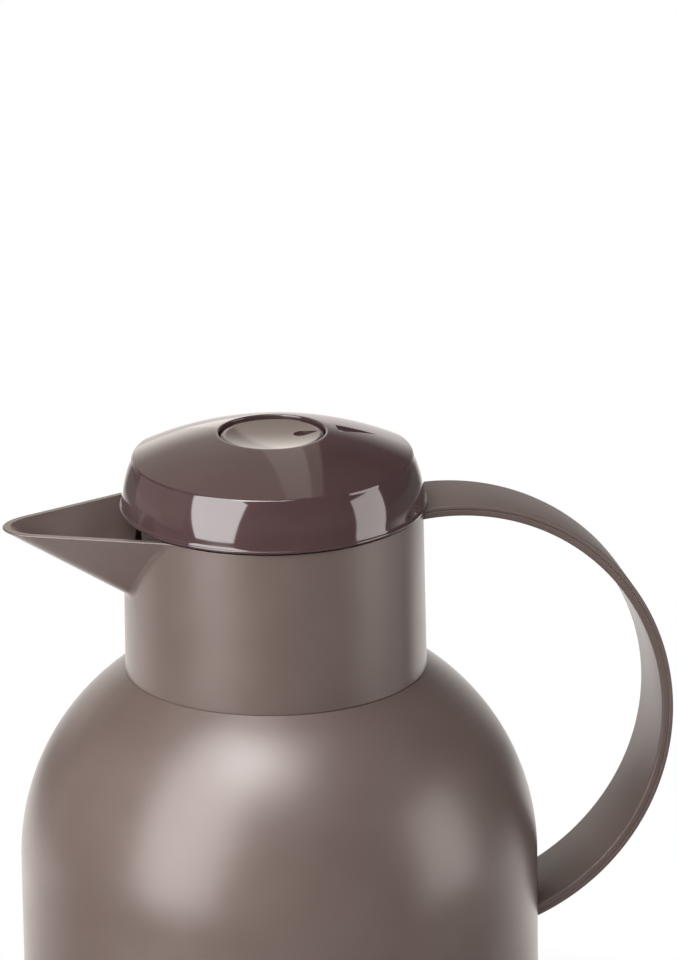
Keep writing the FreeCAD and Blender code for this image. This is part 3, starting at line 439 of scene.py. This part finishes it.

# Return spring: drawn steel wire wound in eight coils between the stopper's floor and the button.
# On the real jug it shortens toward the floor as the button goes down; here it is built at one length.

SPRING_FOOT, SPRING_TOP = 192.296, 219.766
SPRING_RADIUS, WIRE, COILS = 8.4, 1.2, 8
BUTTON_TRAVEL, WIRE_PLAY = 4.5, 0.05
wire_rise = SPRING_TOP - SPRING_FOOT - WIRE - 2 * WIRE_PLAY
STEELS = (0.5, 0.5, 0.49), (0.6, 0.6, 0.59)
spring_steel = moulded("spring_steel", STEELS, (0.2, 0.32), 1500, 0.3, Metallic=1.0)
coil_steps, wire_sides = COILS * 40, 12
spots, faces = [], []
for step in range(coil_steps + 1):
    turn = 2 * math.pi * COILS * step / coil_steps
    outward = Vector((math.cos(turn), math.sin(turn), 0))
    middle = outward * SPRING_RADIUS
    middle.z = SPRING_FOOT + WIRE / 2 + WIRE_PLAY + wire_rise * step / coil_steps
    for side in range(wire_sides):
        a = 2 * math.pi * side / wire_sides
        spots.append((middle + (outward * math.cos(a) + Vector((0, 0, math.sin(a)))) * (WIRE / 2)) * MM)
for step in range(coil_steps):
    for side in range(wire_sides):
        after = (side + 1) % wire_sides
        here, there = step * wire_sides, (step + 1) * wire_sides
        faces.append((here + side, there + side, there + after, here + after))
faces.append(tuple(range(wire_sides)))
faces.append(tuple(coil_steps * wire_sides + k for k in range(wire_sides - 1, -1, -1)))
spring_mesh = bpy.data.meshes.new("spring")
spring_mesh.from_pydata(spots, [], faces)
spring = finished("spring", spring_mesh, "closure", ["return_spring"], spring_steel)
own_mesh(spring)

# Floor and surround: a pale table top that runs out into white, in a white studio. What the gloss mirrors
# is a bright, slightly warm wall behind the jug, a dim ceiling and dim sides; the matt side of things gets
# an even glow.

BEHIND = (0.199, 0.98, 0.0)
WALL_GLOW, FLOOR_GLOW, SIDE_GLOW, ROOM_GLOW = 1.35, 1.9, 0.12, 0.63
WHITE, WALL_HUE = (1, 1, 1), (1.0, 0.95, 0.92)
FLOOR_HALF, FLOOR_GAP = 4, 0.0002
FADE_START, FADE_END = 0.11, 0.22
NEAR_END, FAR_START = 0.5, 1.0
CEILING_START, CEILING_END = 0.12, 0.36
DIM = 0.1
floor_mesh = bpy.data.meshes.new("floor")
floor_corners = [(x * FLOOR_HALF, y * FLOOR_HALF, 0) for x, y in ((-1, -1), (1, -1), (1, 1), (-1, 1))]
floor_mesh.from_pydata(floor_corners, [], [(0, 1, 2, 3)])
floor = bpy.data.objects.new("floor", floor_mesh)
bpy.context.scene.collection.objects.link(floor)
floor.location.z = cad_low.z - FLOOR_GAP


def maths(tree, operation, first, second):
    """A product or maximum of two outputs."""
    node = tree.nodes.new("ShaderNodeMath")
    node.operation = operation
    for socket, output in zip(node.inputs, (first, second)):
        tree.links.new(output, socket)
    return node.outputs["Value"]


def towards_back(tree, place, start, end, most):
    """A glow that grows from the sides' to the most as a place or direction nears the wall behind."""
    dot = tree.nodes.new("ShaderNodeVectorMath")
    dot.operation = "DOT_PRODUCT"
    dot.inputs[1].default_value = BEHIND
    tree.links.new(place, dot.inputs[0])
    share = added(tree, "ShaderNodeMapRange", From_Min=start, From_Max=end, To_Min=SIDE_GLOW, To_Max=most)
    tree.links.new(dot.outputs["Value"], share.inputs["Value"])
    return share.outputs["Result"]


def mixed(tree, share, first, second):
    """A colour that goes from the first to the second as the share grows."""
    node = added(tree, "ShaderNodeMixRGB", Color1=(*first, 1), Color2=(*second, 1))
    tree.links.new(share, node.inputs["Fac"])
    return node.outputs["Color"]


pale = bpy.data.materials.new("pale_floor")
pale.use_nodes = True
tree = pale.node_tree
table_top = tree.nodes["Principled BSDF"]
table_top.inputs["Base Color"].default_value = (0.8, 0.8, 0.79, 1)
table_top.inputs["Roughness"].default_value = 0.9
place = added(tree, "ShaderNodeTexCoord").outputs["Object"]
distance = tree.nodes.new("ShaderNodeVectorMath")
distance.operation = "LENGTH"
tree.links.new(place, distance.inputs[0])
fade = added(tree, "ShaderNodeMapRange", From_Min=FADE_START, From_Max=FADE_END, To_Min=0.0, To_Max=1.0)
tree.links.new(distance.outputs["Value"], fade.inputs["Value"])
rays = added(tree, "ShaderNodeLightPath").outputs
direct = maths(tree, "MAXIMUM", rays["Is Camera Ray"], rays["Is Transmission Ray"])
either = maths(tree, "MAXIMUM", direct, rays["Is Glossy Ray"])
white = added(tree, "ShaderNodeEmission")
tree.links.new(mixed(tree, direct, WALL_HUE, WHITE), white.inputs["Color"])
glow = added(tree, "ShaderNodeMix", B=1.0)
tree.links.new(direct, glow.inputs["Factor"])
near = added(tree, "ShaderNodeMapRange", From_Min=NEAR_END, From_Max=FAR_START, To_Min=1.0, To_Max=DIM)
tree.links.new(distance.outputs["Value"], near.inputs["Value"])
heading = tree.nodes.new("ShaderNodeVectorMath")
heading.operation = "NORMALIZE"
tree.links.new(place, heading.inputs[0])
straight = towards_back(tree, heading.outputs["Vector"], 0.86, 0.98, 1.0)
lit_floor = towards_back(tree, place, 0.0, FADE_END, FLOOR_GLOW)
reach = maths(tree, "MAXIMUM", near.outputs["Result"], straight)
tree.links.new(maths(tree, "MULTIPLY", lit_floor, reach), glow.inputs["A"])
tree.links.new(glow.outputs["Result"], white.inputs["Strength"])
blend = tree.nodes.new("ShaderNodeMixShader")
tree.links.new(maths(tree, "MULTIPLY", fade.outputs["Result"], either), blend.inputs["Fac"])
tree.links.new(table_top.outputs["BSDF"], blend.inputs[1])
tree.links.new(white.outputs["Emission"], blend.inputs[2])
tree.links.new(blend.outputs["Shader"], tree.nodes["Material Output"].inputs["Surface"])
floor.data.materials.append(pale)

world = bpy.data.worlds.new("white_studio")
bpy.context.scene.world = world
world.use_nodes = True
tree = world.node_tree
sky = tree.nodes["Background"]
place = added(tree, "ShaderNodeTexCoord").outputs["Generated"]
height = added(tree, "ShaderNodeSeparateXYZ")
tree.links.new(place, height.inputs["Vector"])
ceiling = added(
    tree, "ShaderNodeMapRange", From_Min=CEILING_START, From_Max=CEILING_END, To_Min=1.0, To_Max=DIM,
)
tree.links.new(height.outputs["Z"], ceiling.inputs["Value"])
wall = towards_back(tree, place, 0.8, 0.97, WALL_GLOW)
mirrored = maths(tree, "MULTIPLY", wall, ceiling.outputs["Result"])
rays = added(tree, "ShaderNodeLightPath").outputs
glow = added(tree, "ShaderNodeMix", A=ROOM_GLOW)
tree.links.new(rays["Is Glossy Ray"], glow.inputs["Factor"])
tree.links.new(mirrored, glow.inputs["B"])
tree.links.new(mixed(tree, rays["Is Glossy Ray"], WHITE, WALL_HUE), sky.inputs["Color"])
tree.links.new(maths(tree, "MAXIMUM", glow.outputs["Result"], rays["Is Camera Ray"]), sky.inputs["Strength"])

# Camera: a long lens from the front, a little to the beak side and above the lid, held slightly off level.
# The jug sits low in the frame, and its foot is cut off.

CAMERA_DISTANCE = 2.2282
ELEVATION, AZIMUTH, ROLL = math.radians(18.85), math.radians(-11.5), math.radians(0.868)
PIXELS_PER_MM = 3.962
FRAME_HEIGHT, SENSOR = 960, 36
AIM_RIGHT, AIM_UP = 65.24, 23.86
back = Vector((
    math.sin(AZIMUTH) * math.cos(ELEVATION),
    -math.cos(AZIMUTH) * math.cos(ELEVATION),
    math.sin(ELEVATION),
))
level_right = Vector((math.cos(AZIMUTH), math.sin(AZIMUTH), 0))
level_up = back.cross(level_right)
right = level_right * math.cos(ROLL) - level_up * math.sin(ROLL)
up = level_right * math.sin(ROLL) + level_up * math.cos(ROLL)
aim = Vector((0, 0, LID_BASE * MM)) + (right * AIM_RIGHT + up * AIM_UP) * (MM / PIXELS_PER_MM)
lens = bpy.data.cameras.new("camera")
lens.lens = PIXELS_PER_MM * CAMERA_DISTANCE / MM / FRAME_HEIGHT * SENSOR
lens.sensor_width = SENSOR
camera = bpy.data.objects.new("camera", lens)
bpy.context.scene.collection.objects.link(camera)
facing = Matrix((right, up, back)).transposed().to_4x4()
camera.matrix_world = Matrix.Translation(aim + back * CAMERA_DISTANCE) @ facing
bpy.context.scene.camera = camera

# Lamps: soft panels. Those to the left, above, to the right and at the side show in the gloss alone, and
# so do the dim, warm ones at the back: a low one, and three that hang side by side over the table.
# The four fills light the matt side of things.

WARM = (1.0, 0.93, 0.78)
LAMPS_AIM = Vector((0, 0, 0.18))


def panel(
    name, azimuth, elevation, reach, width, height, glow,
    on_gloss=True, on_matt=True, aside=0.0, tint=WHITE,
):
    """A soft panel that faces the neck, placed by its bearing from the camera's own and then moved aside.

    The angles are in degrees, and the reach and the sizes in metres.
    """
    turn = AZIMUTH + math.radians(azimuth)
    rise = math.radians(elevation)
    way = Vector((math.sin(turn) * math.cos(rise), -math.cos(turn) * math.cos(rise), math.sin(rise)))
    lamp = bpy.data.lights.new(name, "AREA")
    lamp.shape = "RECTANGLE"
    lamp.size = width
    lamp.size_y = height
    lamp.energy = glow * math.pi * width * height
    lamp.color = tint
    item = bpy.data.objects.new(name, lamp)
    bpy.context.scene.collection.objects.link(item)
    item.location = LAMPS_AIM + way * reach + Vector((math.cos(turn), math.sin(turn), 0)) * aside
    item.rotation_mode = "QUATERNION"
    item.rotation_quaternion = (-way).to_track_quat("-Z", "Y")
    item.visible_camera = False
    item.visible_glossy = on_gloss
    item.visible_diffuse = on_matt


panel("left_panel", -44, 33, 0.6, 0.44, 1.18, 8.5, on_matt=False)
panel("top_panel", -14, 64, 1.2, 0.7, 0.5, 8.0, on_matt=False)
panel("right_panel", 77, 3, 0.6, 0.3, 0.4, 4.5, on_matt=False, tint=WALL_HUE)
panel("side_panel", -98, 8, 1.0, 1.1, 0.6, 0.3, on_matt=False, tint=WARM)
panel("left_fill", -60, 12, 1.0, 0.9, 0.8, 0.8, on_gloss=False)
panel("low_fill", -55, -9, 0.5, 0.4, 0.16, 4.2, on_gloss=False)
panel("front_fill", -12, 40, 1.3, 0.9, 0.9, 3.3, on_gloss=False)
panel("beak_fill", -42, 55, 0.5, 0.25, 0.25, 5.6, on_gloss=False)
panel("back_low", -147, 9, 1.3, 0.5, 0.35, 0.6, on_matt=False, tint=WARM)
panel("back_panel", -164, 38, 1.5, 0.55, 2.0, 0.6, on_matt=False, tint=WARM)
panel("back_strip", -164, 38, 1.5, 0.19, 2.0, 1.0, on_matt=False, aside=-0.37, tint=WARM)
panel("back_fade", -164, 38, 1.5, 0.08, 2.0, 0.42, on_matt=False, aside=-0.505, tint=WARM)

bpy.context.scene.view_settings.view_transform = "Standard"
